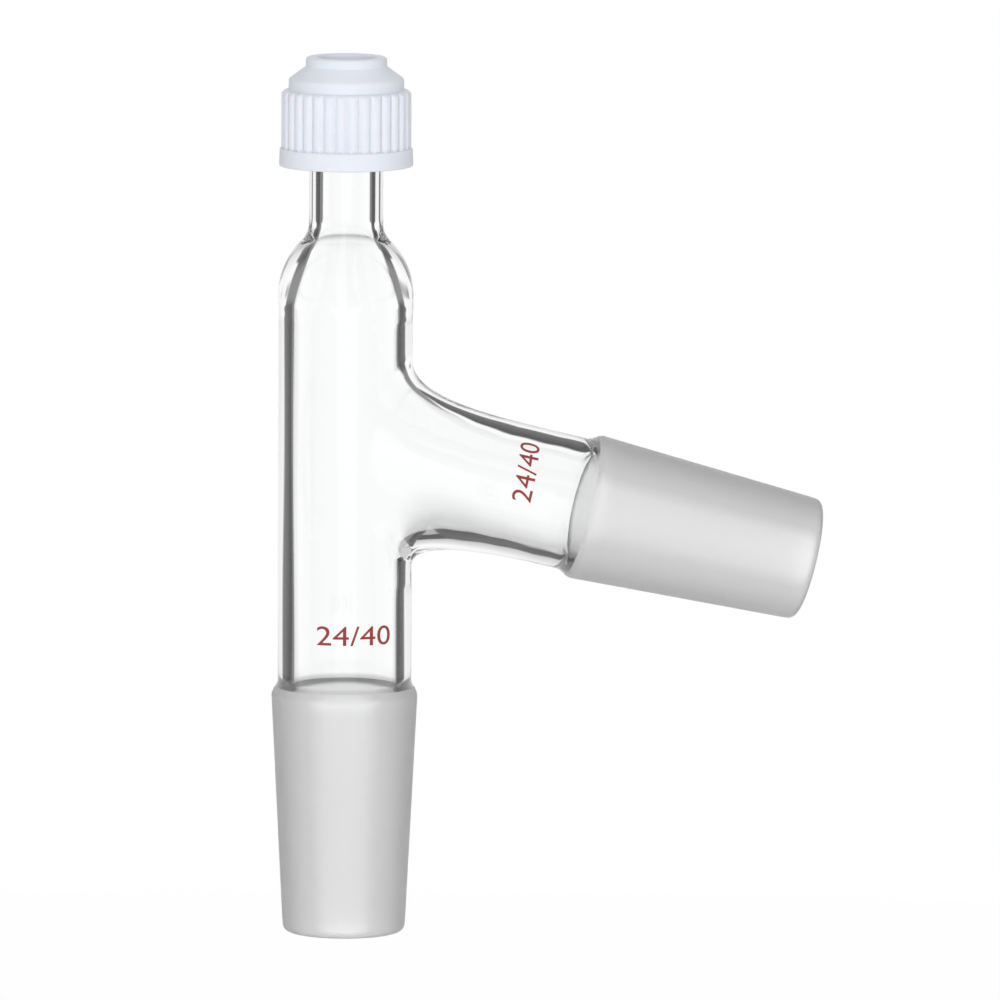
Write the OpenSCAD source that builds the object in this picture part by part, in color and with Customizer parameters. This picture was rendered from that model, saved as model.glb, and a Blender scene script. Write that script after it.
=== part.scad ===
// Distillation head: a straight glass stem with a ground joint at its foot, a sloping side arm
// with a ground joint at its end, and a threaded neck whose cap squeezes a ring on a thermometer.
// Millimetres. Z is the stem's axis with 0 at its foot, and the side arm leaves towards +X.

/* [Ground joints] */
// Diameter of a joint's large end
joint_big_d = 24; // [22:0.5:26]
// Length of the lower joint's ground zone
joint_len = 40; // [30:1:45]
// Length of the side joint's ground zone
side_joint_len = 38.6; // [30:0.2:45]
// Loss of diameter for each millimetre along a joint
joint_taper = 0.1; // [0.05:0.01:0.12]
// Wall of the glass in a joint
joint_wall = 2.4; // [1.6:0.1:3]
// Radius that the flame gives to the rims
rim_round = 1.15; // [0.4:0.05:1.15]

/* [Stem] */
// Outer diameter of the stem and of the side arm
tube_d = 22; // [20:0.5:24]
// Wall of the stem and of the side arm
tube_wall = 2.5; // [1.5:0.1:2.8]
// Outer diameter of the swelling under the shoulder
swell_d = 22.2; // [20:0.2:24]
// Height where the shoulder begins to turn in
shoulder_z = 105.4; // [100:0.1:115]
// Outer radius of the shoulder's convex turn
shoulder_r = 12.5; // [10:0.5:15]
// Angle that the shoulder turns through before it turns back
shoulder_turn = 46; // [30:1:60]

/* [Neck and thread] */
// Outer diameter of the neck
neck_d = 12.2; // [11:0.1:13]
// Wall of the neck
neck_wall = 2.3; // [1.5:0.1:2.4]
// Height of the neck's rim above the foot
rim_z = 137; // [132:0.5:145]
// Outer diameter of the glass thread
thread_d = 14; // [13.6:0.1:14.2]
// Rise of the thread in one turn
thread_pitch = 2.5; // [2.5:0.5:3]
// Turns of thread on the glass and in the cap
thread_turns = 3; // [2:0.25:3.25]

/* [Side arm] */
// Height of the arm's axis where it crosses the stem's axis
arm_z = 79.9; // [75:0.1:85]
// Fall of the arm below the horizontal
arm_drop = 14; // [0:1:30]
// Distance along the arm from the stem's axis to its ground zone
arm_joint_s = 40.5; // [38:0.5:50]

/* [Cap] */
// Diameter of the cap's foot flange
cap_flange_d = 22; // [21.8:0.1:24]
// Diameter over the grip ribs
cap_grip_d = 21.4; // [21:0.1:21.6]
// Diameter of the plain step over the grip
cap_step_d = 18.9; // [18:0.1:19.4]
// Diameter of the collar round the hole
cap_collar_d = 13.3; // [12.6:0.1:15]
// Diameter of the hole for the thermometer
cap_hole_d = 9.6; // [8:0.1:10]
// Number of grip ribs
cap_ribs = 32; // [24:1:40]

/* [Seal] */
// Bore of the sealing ring
seal_bore_d = 6.5; // [5:0.1:7.5]
// Thickness of the sealing ring
seal_h = 3.4; // [2:0.1:4]

/* [Hidden] */
$fn = 64;

// Radii and heights that follow from the dimensions above.
tube_r = tube_d / 2;
bore_r = tube_r - tube_wall;
swell_r = swell_d / 2;
neck_r = neck_d / 2;
neck_bore_r = neck_r - neck_wall;
big_r = joint_big_d / 2;
step_len = 2.3;
arm_end_s = arm_joint_s + side_joint_len;
rim_flat_round = 0.5;
past = 2;

// Cap heights, all measured up from the glass rim or down from the seal's top.
seal_top_z = rim_z + seal_h;
cap_top_z = seal_top_z + 4.2;
cap_base_z = rim_z - 10.3;
cap_flange_top_z = cap_base_z + 3;
cap_grip_top_z = cap_base_z + 12.5;
cap_step_top_z = cap_base_z + 14.3;
cap_cone_top_z = cap_base_z + 16.2;
cap_cavity_r = thread_d / 2 + 0.5;
cap_seat_z = rim_z + 0.7;
cap_seat_r = 6.15;

// Threads: the cap's ridge runs half a pitch over the glass's.
thread_root_sink = 0.3;
glass_thread_z = rim_z - 9.2;
cap_thread_z = glass_thread_z + thread_pitch / 2;
cap_thread_crest_r = 6.5;

// The bore narrows from the stem to the neck over this stretch.
bore_turn_z = 103.3;
bore_turn_len = 14.8;

// How far past the ground zones the bore is still wider than the tube's.
lower_step_reach = 4.3;
side_step_reach = 1;

// The seal between arm and stem. The arm's end flares most on its lower side, and the arm's plain
// tube starts under the flare, arm_root_s from the stem's axis. Each skin has its own shape: how
// far its seam rises on the stem, where it leaves the arm over and under, and the lengths of its
// curves' handles at the arm over and under and at the seam over and under.
arm_root_s = 15.5;
seal_middle_s = 28;
seam_spread = 84;
seam_fall = 18.6;
seam_sink = 0.35;
seam_lift = 0.9;
seal_outside = [15.2, 29, 36, 12.9, 16.5, 4.6, 2.5];
seal_inside = [16.4, 31, 33, 12.5, 14, 9, 7.7];
around = 48;
along = 14;

// Points on an arc in the plane of a profile.
function arc(x, y, r, a0, a1, n) =
    [for (i = [0:n]) let (a = a0 + (a1 - a0) * i / n) [x + r * cos(a), y + r * sin(a)]];

// A soft step between two radii, as worked glass makes.
function soft_step(r0, z0, r1, z1, n) =
    [for (i = [0:n]) let (t = i / n) [r0 + (r1 - r0) * (1 - cos(180 * t)) / 2, z0 + (z1 - z0) * t]];

// A shoulder: a convex turn of radius ro from the wall at r, then a concave one down to r_neck.
function shoulder(r, z, ro, r_neck, turn) =
    let (r_mid = r - ro * (1 - cos(turn)), z_mid = z + ro * sin(turn))
    let (ri = (r_mid - r_neck) / (1 - cos(turn)), z_end = z_mid + ri * sin(turn))
    concat(arc(r - ro, z, ro, 0, turn, 7), arc(r_neck + ri, z_end, ri, 180 + turn, 180, 6));

// Radius at the small end of a joint of a given length.
function small_r(len) = big_r - joint_taper * len / 2;

// The outside of a ground joint from its rim at 0 to the clear tube past its shoulder.
function joint_outside(len) = concat(
    arc(small_r(len) - rim_round, rim_round, rim_round, 270, 357, 5),
    soft_step(big_r, len, tube_r, len + step_len, 6));

// The inside of the same joint, from below its rim to the tube's bore.
function joint_inside(len, reach) = concat(
    [[small_r(len) - joint_wall + rim_round, -past]],
    arc(small_r(len) - joint_wall + rim_round, rim_round, rim_round, 270, 183, 5),
    soft_step(big_r - joint_wall, len - 2, bore_r, len + reach, 6));

// Places a shape made along +Z from a joint's rim at the end of the side arm, pointing home.
module at_arm_end() {
    translate([0, 0, arm_z]) rotate([0, 90 + arm_drop, 0])
        translate([0, 0, arm_end_s]) mirror([0, 0, 1]) children();
}

module stem_outside() {
    rotate_extrude() polygon(concat(
        [[0, 0]],
        joint_outside(joint_len),
        soft_step(tube_r, shoulder_z - 4.1, swell_r, shoulder_z - 1.5, 5),
        shoulder(swell_r, shoulder_z, shoulder_r, neck_r, shoulder_turn),
        arc(neck_r - rim_flat_round, rim_z - rim_flat_round, rim_flat_round, 0, 90, 4),
        [[0, rim_z]]));
}

module stem_inside() {
    rotate_extrude() polygon(concat(
        [[0, -past]],
        joint_inside(joint_len, lower_step_reach),
        soft_step(bore_r, bore_turn_z, neck_bore_r, bore_turn_z + bore_turn_len, 12),
        arc(neck_bore_r + rim_flat_round, rim_z - rim_flat_round, rim_flat_round, 180, 90, 4),
        [[neck_bore_r + rim_flat_round, rim_z + past], [0, rim_z + past]]));
}

// The arm's tube stops short of the stem, where the flared seal takes over.
module arm_outside() {
    at_arm_end() rotate_extrude() polygon(concat(
        [[0, 0]], joint_outside(side_joint_len),
        [[tube_r, arm_end_s - arm_root_s], [0, arm_end_s - arm_root_s]]));
}

module arm_inside() {
    at_arm_end() rotate_extrude() polygon(concat(
        [[0, -past]], joint_inside(side_joint_len, side_step_reach),
        [[bore_r, arm_end_s - arm_root_s], [0, arm_end_s - arm_root_s]]));
}

// Directions and points for the seal. Angle q runs round the arm from its top.
arm_dir = [cos(arm_drop), 0, -sin(arm_drop)];
function arm_point(s, r, q) = [0, 0, arm_z] + s * arm_dir
    + r * [cos(q) * sin(arm_drop), sin(q), cos(q) * cos(arm_drop)];
function seam_angle(q) = seam_spread * sin(q);
function seam_point(r, rise, q) = [r * cos(seam_angle(q)), r * sin(seam_angle(q)),
    arm_z - 0.5 + (cos(q) > 0 ? rise : seam_fall) * cos(q)];
function seam_dir(q) =
    [-sin(seam_angle(q)) * sin(q), cos(seam_angle(q)) * sin(q), cos(q)];
function unit(v) = v / norm(v);
function low_side(q) = (1 - cos(q)) / 2;

// A value that goes from over to under as the angle goes from the arm's top to its lower side.
function between(over, under, q, power) = over + (under - over) * pow(low_side(q), power);

// One point of the seal's surface, a Bezier curve from the arm at t = 0 to the stem at t = 1.
// The ends sink a little into both tubes, and lean handles carry the surface clear of them.
function seal_point(r, form, q, t) =
    let (s = between(form[1], form[2], q, 3))
    let (p0 = arm_point(s, r - seam_sink, q))
    let (p1 = arm_point(s - between(form[3], form[4], q, 2), r - seam_sink + seam_lift, q))
    let (p3 = seam_point(r - seam_sink, form[0], q))
    let (out = [cos(seam_angle(q)), sin(seam_angle(q)), 0])
    let (p2 = p3 - between(form[5], form[6], q, 1) * unit(seam_dir(q)) + seam_lift * out)
    pow(1 - t, 3) * p0 + 3 * pow(1 - t, 2) * t * p1 + 3 * (1 - t) * t * t * p2 + pow(t, 3) * p3;

// A closed solid under that surface, with a fan to a point on the arm's axis and one on the stem's.
module seal_plug(r, form) {
    rings = [for (i = [0:along]) for (j = [0:around - 1])
        seal_point(r, form, 360 * j / around, i / along)];
    first = len(rings);
    last = first + 1;
    function at(i, j) = i * around + j % around;
    polyhedron(
        concat(rings, [[0, 0, arm_z] + seal_middle_s * arm_dir, [0, 0, arm_z]]),
        concat(
            [for (i = [0:along - 1]) for (j = [0:around - 1]) [at(i, j), at(i + 1, j + 1), at(i, j + 1)]],
            [for (i = [0:along - 1]) for (j = [0:around - 1]) [at(i, j), at(i + 1, j), at(i + 1, j + 1)]],
            [for (j = [0:around - 1]) [first, at(0, j), at(0, j + 1)]],
            [for (j = [0:around - 1]) [last, at(along, j + 1), at(along, j)]]));
}

// A helical ridge that tapers in and out at its ends. Its root is at r_root and its crest at
// r_crest, so the same module cuts either way: inward for the cap and outward for the glass.
module thread_ridge(z, r_root, r_crest, root_w, crest_w, turns) {
    steps = round(24 * turns);
    function fade(i) = min(1, min(i, steps - i) / 5);
    function section(i) =
        let (f = 0.05 + 0.95 * fade(i), a = 360 * i / 24, h = z + thread_pitch * i / 24)
        let (rc = r_root + (r_crest - r_root) * f)
        [for (p = [[r_root, -root_w], [rc, -crest_w * f], [rc, crest_w * f], [r_root, root_w]])
            [p[0] * cos(a), p[0] * sin(a), h + p[1] / 2]];
    flip = r_crest < r_root;
    points = [for (i = [0:steps]) each section(i)];
    sides = [for (i = [0:steps - 1]) for (k = [0:3]) each
        let (a = 4 * i + k, b = 4 * i + (k + 1) % 4) [[a, b, b + 4], [a, b + 4, a + 4]]];
    ends = [[3, 2, 1], [3, 1, 0], [4 * steps, 4 * steps + 1, 4 * steps + 2],
        [4 * steps, 4 * steps + 2, 4 * steps + 3]];
    faces = concat(sides, ends);
    polyhedron(points, flip ? [for (f = faces) [f[2], f[1], f[0]]] : faces);
}

module glass_body() {
    color("lightcyan", 0.4) difference() {
        union() {
            stem_outside();
            arm_outside();
            seal_plug(tube_r, seal_outside);
            thread_ridge(glass_thread_z, neck_r - thread_root_sink, thread_d / 2, 1.6, 0.7,
                thread_turns);
        }
        union() {
            stem_inside();
            arm_inside();
            seal_plug(bore_r, seal_inside);
        }
    }
}

// The grip: a ring of round ribs that run together at their feet, with softened tops.
module cap_grip() {
    rib_r = 1.05;
    intersection() {
        translate([0, 0, cap_base_z + 1]) linear_extrude(cap_grip_top_z - cap_base_z - 1) union() {
            circle(r = cap_grip_d / 2 - rib_r + 0.2);
            for (i = [0:cap_ribs - 1])
                rotate(360 * i / cap_ribs) translate([cap_grip_d / 2 - rib_r, 0]) circle(r = rib_r);
        }
        rotate_extrude() polygon(concat(
            [[0, cap_base_z], [cap_flange_d / 2, cap_base_z], [cap_flange_d / 2, cap_grip_top_z - 1]],
            arc(cap_grip_d / 2 - 1, cap_grip_top_z - 1, 1, 10, 90, 5),
            [[0, cap_grip_top_z]]));
    }
}

module cap_shell() {
    flange_r = cap_flange_d / 2;
    step_r = cap_step_d / 2;
    collar_r = cap_collar_d / 2;
    rotate_extrude() polygon(concat(
        [[0, cap_base_z]],
        arc(flange_r - 0.3, cap_base_z + 0.3, 0.3, 270, 360, 3),
        arc(flange_r - 0.4, cap_flange_top_z - 0.3, 0.3, 0, 90, 3),
        [[step_r, cap_flange_top_z]],
        arc(step_r - 0.8, cap_step_top_z - 0.5, 0.8, 0, 50, 4),
        [[collar_r + 0.2, cap_cone_top_z - 0.1], [collar_r, cap_cone_top_z + 0.1]],
        arc(collar_r - 0.5, cap_top_z - 0.5, 0.5, 0, 90, 4),
        [[0, cap_top_z]]));
}

// What is hollow in the cap: the threaded cavity, the seat for the ring and the hole.
module cap_hollow() {
    hole_r = cap_hole_d / 2;
    rotate_extrude() polygon(concat(
        [[0, cap_base_z - past], [cap_cavity_r + 0.6, cap_base_z - past],
         [cap_cavity_r + 0.6, cap_base_z], [cap_cavity_r, cap_base_z + 0.6],
         [cap_cavity_r, cap_seat_z], [cap_seat_r, cap_seat_z], [cap_seat_r, seal_top_z],
         [hole_r, seal_top_z]],
        arc(hole_r + 0.4, cap_top_z - 0.4, 0.4, 180, 90, 4),
        [[hole_r + 0.4, cap_top_z + past], [0, cap_top_z + past]]));
}

module screw_cap() {
    color("aliceblue") {
        difference() {
            union() {
                cap_shell();
                cap_grip();
            }
            cap_hollow();
        }
        thread_ridge(cap_thread_z, cap_cavity_r + thread_root_sink, cap_thread_crest_r, 1.4, 0.6,
            thread_turns);
    }
}

module seal_ring() {
    seal_r = cap_seat_r - 0.05;
    edge = 0.3;
    color("white") rotate_extrude() polygon([
        [seal_bore_d / 2, rim_z], [seal_r - edge, rim_z], [seal_r, rim_z + edge],
        [seal_r, seal_top_z - edge], [seal_r - edge, seal_top_z], [seal_bore_d / 2, seal_top_z]]);
}

glass_body();
screw_cap();
seal_ring();
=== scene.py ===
"""A glass distillation head: a stem and a sloping arm with ground joints, and a ribbed screw cap.

Every shape is a surface worked out as whole arrays. The glass is one closed skin: two tubes of
revolution, a flared seal where the arm leaves the stem, and the same again inside the wall.
"""

import math

import bmesh
import bpy
import numpy as np
from bpy.props import (
    FloatProperty,
    FloatVectorProperty,
    IntProperty,
    PointerProperty,
    StringProperty,
)
from bpy.types import Operator, Panel, PropertyGroup
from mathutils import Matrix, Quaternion, Vector


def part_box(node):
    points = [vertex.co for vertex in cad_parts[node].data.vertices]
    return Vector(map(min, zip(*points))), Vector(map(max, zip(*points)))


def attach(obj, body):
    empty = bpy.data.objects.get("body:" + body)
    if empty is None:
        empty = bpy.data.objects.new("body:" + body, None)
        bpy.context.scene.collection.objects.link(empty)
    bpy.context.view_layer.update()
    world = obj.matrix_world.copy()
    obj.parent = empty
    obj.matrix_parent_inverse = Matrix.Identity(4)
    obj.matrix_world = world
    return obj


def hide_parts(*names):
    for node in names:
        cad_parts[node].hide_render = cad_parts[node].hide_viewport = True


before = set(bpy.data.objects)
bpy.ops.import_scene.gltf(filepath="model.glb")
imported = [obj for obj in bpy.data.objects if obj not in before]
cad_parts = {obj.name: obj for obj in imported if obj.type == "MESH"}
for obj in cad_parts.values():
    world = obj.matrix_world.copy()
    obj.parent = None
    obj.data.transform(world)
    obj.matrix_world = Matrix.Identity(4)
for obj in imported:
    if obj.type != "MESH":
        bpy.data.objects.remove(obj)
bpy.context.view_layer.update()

bl_info = {
    "name": "Distillation head",
    "version": (1, 0, 0),
    "blender": (4, 5, 0),
    "location": "View3D > Sidebar > Still head",
    "description": "Builds a glass distillation head with ground joints and a screw cap",
    "category": "Add Mesh",
}

_, GLASS_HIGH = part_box("glass_body")
CAP_LOW, CAP_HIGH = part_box("screw_cap")
RING_LOW, RING_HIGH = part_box("seal_ring")


# Properties -------------------------------------------------------------------------------------


def length(name, description, default):
    """A length in metres, shown in the scene's units."""
    return FloatProperty(name=name, description=description, default=default, min=0.0,
                         precision=5, subtype="DISTANCE", unit="LENGTH")


def angle(name, description, degrees):
    """An angle, given here in degrees."""
    return FloatProperty(name=name, description=description, default=math.radians(degrees),
                         subtype="ANGLE", unit="ROTATION")


def share(name, description, default):
    """A plain number."""
    return FloatProperty(name=name, description=description, default=default, precision=4)


def count(name, description, default):
    """A whole number above nought."""
    return IntProperty(name=name, description=description, default=default, min=1)


def colour(name, description, default):
    """A linear colour."""
    return FloatVectorProperty(name=name, description=description, default=default, min=0.0,
                               max=1.0, size=3, subtype="COLOR")


class HeadGlassSizes(PropertyGroup):
    """The glass: joints, stem, shoulder, neck and side arm."""

    joint_radius: length("Joint radius", "Radius of a ground joint's large end", GLASS_HIGH.y)
    joint_length: length("Joint length", "Length of the lower ground zone", 0.0391)
    side_length: length("Side joint length", "Length of the arm's ground zone", 0.0377)
    joint_taper: share("Joint taper", "Loss of diameter over the length of a joint", 0.1)
    joint_wall: length("Joint wall", "Wall of the glass in a joint", 0.0024)
    joint_step: length("Joint step", "Length of the flare from joint to tube", 0.0028)
    frost_reach: length("Frost reach", "How far the lower ground finish goes up its flare", 0.0018)
    side_frost: length("Side frost reach", "How far the arm's ground finish goes up", 0.0013)
    rim_round: length("Rim rounding", "Radius that the flame gives to a joint's rim", 0.00115)
    tube_radius: length("Tube radius", "Outer radius of the stem and the arm", 0.011)
    tube_wall: length("Tube wall", "Wall of the stem and the arm", 0.0025)
    swell_radius: length("Swelling", "Outer radius just under the shoulder", 0.0111)
    shoulder_height: length("Shoulder height", "Where the shoulder turns in", 0.1054)
    shoulder_radius: length("Shoulder radius", "Outer radius of its convex turn", 0.0125)
    shoulder_turn: angle("Shoulder turn", "Angle before it turns back", 46.0)
    bore_turn_height: length("Bore turn height", "Where the bore starts to narrow", 0.1033)
    bore_turn_length: length("Bore turn length", "Height in which the bore narrows", 0.0148)
    neck_radius: length("Neck radius", "Outer radius of the neck", 0.0061)
    neck_wall: length("Neck wall", "Wall of the neck", 0.0023)
    neck_rim_round: length("Neck rim rounding", "Rounding of the neck's flat rim", 0.0005)
    rim_height: length("Rim height", "Top of the glass", GLASS_HIGH.z)
    thread_radius: length("Thread radius", "Radius over the glass thread", 0.007)
    thread_pitch: length("Thread pitch", "Rise of the thread in one turn", 0.0025)
    thread_turns: share("Thread turns", "Turns of thread on the glass", 3.0)
    thread_drop: length("Thread drop", "Start of the thread below the rim", 0.0092)
    arm_height: length("Arm height", "Where the arm's axis meets the stem's", 0.0799)
    arm_drop: angle("Arm drop", "Fall of the arm below the horizontal", 14.0)
    arm_joint: length("Arm joint", "Distance along the arm to its ground zone", 0.0414)
    seam_spread: angle("Seam spread", "Half the angle that the arm's seam takes of the stem", 84.0)
    seam_fall: length("Seam fall", "Reach of the seam below its middle", 0.0186)
    waviness: length("Waviness", "How far the drawn bore strays from round", 0.00003)


class HeadCapSizes(PropertyGroup):
    """The ribbed cap and the ring that it squeezes."""

    flange_radius: length("Flange radius", "Radius of the foot flange", CAP_HIGH.x)
    flange_height: length("Flange height", "Height of the foot flange", 0.003)
    grip_radius: length("Grip radius", "Radius over the ribs", 0.0107)
    grip_height: length("Grip height", "Top of the ribs over the cap's foot", 0.0125)
    rib_radius: length("Rib radius", "Radius of one round rib", 0.00105)
    ribs: count("Ribs", "Number of ribs", 32)
    step_radius: length("Step radius", "Radius of the plain step over the ribs", 0.00945)
    step_height: length("Step height", "Top of the plain step over the foot", 0.0143)
    cone_height: length("Cone height", "Top of the cone over the foot", 0.0162)
    collar_radius: length("Collar radius", "Radius of the collar", 0.00665)
    hole_radius: length("Hole radius", "Radius of the open hole", 0.0048)
    cavity_radius: length("Cavity radius", "Radius of the threaded cavity", 0.0075)
    seat_radius: length("Seat radius", "Radius of the seat for the ring", 0.00615)
    seat_gap: length("Seat gap", "Foot of the seat over the glass rim", 0.0007)
    thread_crest: length("Thread crest", "Radius inside the cap's thread", 0.0065)
    ring_radius: length("Ring radius", "Outer radius of the sealing ring", 0.0061)
    ring_bore: length("Ring bore", "Bore radius of the sealing ring", 0.00325)


class HeadMarkSizes(PropertyGroup):
    """The fired red numerals."""

    numerals: StringProperty(name="Numerals", description="Plain size numerals", default="24/40")
    film: length("Film", "Thickness of the fired colour", 0.00004)
    stem_tall: length("Stem numeral", "Height of a numeral on the stem", 0.0032)
    stem_width: length("Stem line", "Width of the line on the stem", 0.0128)
    stem_height: length("Stem mark", "Height of the line's middle on the stem", 0.0504)
    stem_facing: angle("Stem facing", "Direction that the line faces, turned from -Y", 2.5)
    arm_tall: length("Arm numeral", "Height of a numeral on the arm", 0.0033)
    arm_width: length("Arm line", "Width of the line on the arm", 0.0106)
    arm_place: length("Arm mark", "Distance of the line's middle along the arm", 0.0286)
    arm_rise: angle("Arm rise", "How far up the arm's flank the line's middle is", 24.5)
    arm_lean: angle("Arm lean", "Turn of the line against the arm", 1.0)


class HeadLooks(PropertyGroup):
    """Colours and finishes."""

    glass: colour("Glass", "Tint of the clear glass", (0.995, 1.0, 0.998))
    glass_index: share("Refractive index", "Of borosilicate glass", 1.474)
    ground: colour("Ground glass", "Tint of the ground zones", (0.97, 0.97, 0.97))
    # Painted shade: the darker grey of the ground zones where they are seen aslant, standing in
    # for the darker sides that their surroundings would give them.
    ground_aslant_shade: colour("Ground glass aslant", "Its tone seen aslant", (0.6, 0.6, 0.6))
    ground_roughness: share("Ground roughness", "Roughness of the ground zones", 0.55)
    cap: colour("Cap", "Moulded plastic", (0.735, 0.762, 0.83))
    cap_roughness: share("Cap roughness", "Roughness of the plastic", 0.5)
    ring: colour("Ring", "Sealing ring", (0.74, 0.77, 0.8))
    marks: colour("Numerals", "Fired red", (0.26, 0.026, 0.02))


class HeadStageSettings(PropertyGroup):
    """Camera, floor, and what the glass shows of its surroundings."""

    azimuth: angle("Azimuth", "Camera's place round the stem", -7.0)
    elevation: angle("Elevation", "Camera's height over the horizon", 7.4)
    roll: angle("Roll", "Turn of the view", 0.28)
    distance: length("Distance", "From the camera to the stem's axis", 2.3)
    frame_width: length("View width", "Width of the view at the stem", 0.1642)
    aim_side: length("Aim to the side", "Middle of the view beside the stem", 0.02544)
    aim_height: length("Aim height", "Middle of the view over the foot", 0.07162)
    floor_depth: length("Floor depth", "Floor below the foot", 0.12)
    surround: share("Surround", "Level of light from all round", 0.42)
    overhead: share("Overhead", "Gain of that level towards straight above", 0.22)
    floor_radius: length("Floor radius", "Radius of the round floor", 0.8)
    flag: share("Flag level", "What a ray sees that the glass has thrown aside", 0.02)
    flag_edge: share("Flag edge", "How much lighter a flag is at its edge", 0.07)
    flank: share("Flank level", "What such a ray sees far to the side, or aside and high up", 0.19)
    falloff: share("Falloff", "How much darker it is to the side than behind and before", 0.45)
    dusk: share("Dusk", "How much darker it is through glass far below the horizon", 0.38)
    tangle: share("Tangle level", "What a ray sees that was thrown about more than twice", 0.6)
    panel_level: share("Panel level", "What it sees at the middle of a white panel", 1.0)
    panel_slope: share("Panel slope", "Gain of that level with the ray's rise", 0.7)
    panel_half: share("Panel half", "Half the width of a panel at a distance of one", 0.3)
    panel_top: share("Panel top", "Rise of a ray that meets a panel's top edge", 0.11)
    panel_foot: share("Panel foot", "Rise of a ray that meets a panel's foot", -0.66)


# Arrays -----------------------------------------------------------------------------------------


def arc(x, z, radius, start, end, steps):
    """Points on an arc: centre plus radius times (cosine, sine) of angles from start to end."""
    turn = np.radians(np.linspace(start, end, steps + 1))
    return np.stack([x + radius * np.cos(turn), z + radius * np.sin(turn)], axis=1)


def soft_step(r0, z0, r1, z1, steps):
    """Points on half a cosine wave that leads from one radius to another."""
    t = np.linspace(0.0, 1.0, steps + 1)
    return np.stack([r0 + (r1 - r0) * (1 - np.cos(np.pi * t)) / 2, z0 + (z1 - z0) * t], axis=1)


def straight(start, end, steps):
    """Points evenly spaced from start to end."""
    t = np.linspace(0.0, 1.0, steps + 1)[:, None]
    return (1 - t) * np.array(start) + t * np.array(end)


def chain(*parts):
    """Outlines joined end to end, without points that repeat."""
    points = np.vstack([np.atleast_2d(np.array(p, dtype=float)) for p in parts])
    gap = np.linalg.norm(np.diff(points, axis=0), axis=1)
    return points[np.concatenate([[True], gap > 1e-7])]


def smooth(low, high, value):
    """0 below low, 1 above high, and a cubic ease between them."""
    t = np.clip((value - low) / (high - low), 0.0, 1.0)
    return t * t * (3 - 2 * t)


def soft_min(a, b, width):
    """The lower of two heights, rounded over where they are within width of each other."""
    h = np.clip(0.5 + 0.5 * (b - a) / width, 0.0, 1.0)
    return b * (1 - h) + a * h - width * h * (1 - h)


def revolve(profile, turn):
    """Each profile point (r, z) carried round Z: (r cos, r sin, z), rows by profile point."""
    r, z = profile[:, :1], profile[:, 1:]
    return np.stack([r * np.cos(turn), r * np.sin(turn), z + 0 * turn], axis=2)


def helix_ridge(turn, z, start, pitch, turns, root, crest):
    """Height from 0 to 1 of a ridge that climbs pitch for each turn: it falls with the distance
    to the nearest pass of the helix, and fades over a quarter turn at both its ends."""
    passes = (z - start) / pitch - turn / (2 * np.pi)
    nearest = np.clip(np.round(passes), 0, math.ceil(turns))
    along = nearest + turn / (2 * np.pi)
    away = np.abs(passes - nearest) * pitch
    ends = smooth(0.0, 0.25, along) * smooth(0.0, 0.25, turns - along)
    return ends * (1 - smooth(crest / 2, root / 2, away))


class Skin:
    """Collects grids of points into one mesh, and joins them where their edges meet."""

    def __init__(self):
        self.points, self.faces, self.finishes, self.tags = [], [], [], []
        self.total = 0

    def add(self, grid, closed_u=False, closed_v=True, finish=0, tag=0):
        """A grid of points as quads. closed_u joins its last row to its first, closed_v its last
        column to its first. finish is a material index, one for all or one for each row."""
        rows, columns = grid.shape[:2]
        index = np.arange(rows * columns).reshape(rows, columns) + self.total
        if closed_u:
            index = np.vstack([index, index[:1]])
        if closed_v:
            index = np.hstack([index, index[:, :1]])
        quads = np.stack([index[:-1, :-1], index[:-1, 1:], index[1:, 1:], index[1:, :-1]], axis=2)
        row_finish = np.broadcast_to(np.asarray(finish), (quads.shape[0],))
        self.points.append(grid.reshape(-1, 3))
        self.tags.append(np.full(rows * columns, tag))
        self.finishes.append(np.repeat(row_finish, quads.shape[1]))
        self.faces.append(quads.reshape(-1, 4))
        self.total += rows * columns

    def joined(self, reach=2e-7):
        """Points, faces, finishes and tags, with points that coincide made one."""
        points, faces = np.vstack(self.points), np.vstack(self.faces)
        tags, finishes = np.concatenate(self.tags), np.concatenate(self.finishes)
        _, first, back = np.unique(np.round(points / reach).astype(np.int64), axis=0,
                                   return_index=True, return_inverse=True)
        return points[first], back.reshape(-1)[faces], finishes, tags[first]


def make_piece(name, points, faces, materials, finishes=None):
    """A smooth mesh object at the origin, with its normals facing out. A quad with two corners
    in one place becomes a triangle, and one with fewer than three places is left out."""
    mesh = bpy.data.meshes.new(name)
    kept = faces != np.roll(faces, 1, axis=1)
    whole = kept.sum(axis=1) > 2
    faces, kept = faces[whole], kept[whole]
    corners = faces[kept]
    mesh.vertices.add(len(points))
    mesh.vertices.foreach_set("co", points.reshape(-1))
    mesh.loops.add(len(corners))
    mesh.loops.foreach_set("vertex_index", corners.astype(np.int32))
    mesh.polygons.add(len(faces))
    starts = np.concatenate([[0], np.cumsum(kept.sum(axis=1))[:-1]])
    mesh.polygons.foreach_set("loop_start", starts.astype(np.int32))
    mesh.update(calc_edges=True)
    for material in materials:
        mesh.materials.append(material)
    if finishes is not None:
        mesh.polygons.foreach_set("material_index", finishes[whole].astype(np.int32))
    mesh.polygons.foreach_set("use_smooth", np.ones(len(mesh.polygons), dtype=bool))
    work = bmesh.new()
    work.from_mesh(mesh)
    bmesh.ops.recalc_face_normals(work, faces=work.faces)
    work.to_mesh(mesh)
    work.free()
    mesh.update()
    piece = bpy.data.objects.new(name, mesh)
    bpy.context.scene.collection.objects.link(piece)
    return piece


# The glass --------------------------------------------------------------------------------------

# Columns round a tube, and the patch of the stem that the arm's seal sits in: half its columns,
# its rows, and its lower and upper edge.
COLUMNS = 96
PATCH_COLUMNS = 27
PATCH_ROWS = 44
PATCH_LOW = 0.057
PATCH_HIGH = 0.101

# Indices of the materials, and the tag of points on the inner side of the wall.
CLEAR, GROUND = 0, 1
INSIDE = 1

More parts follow.
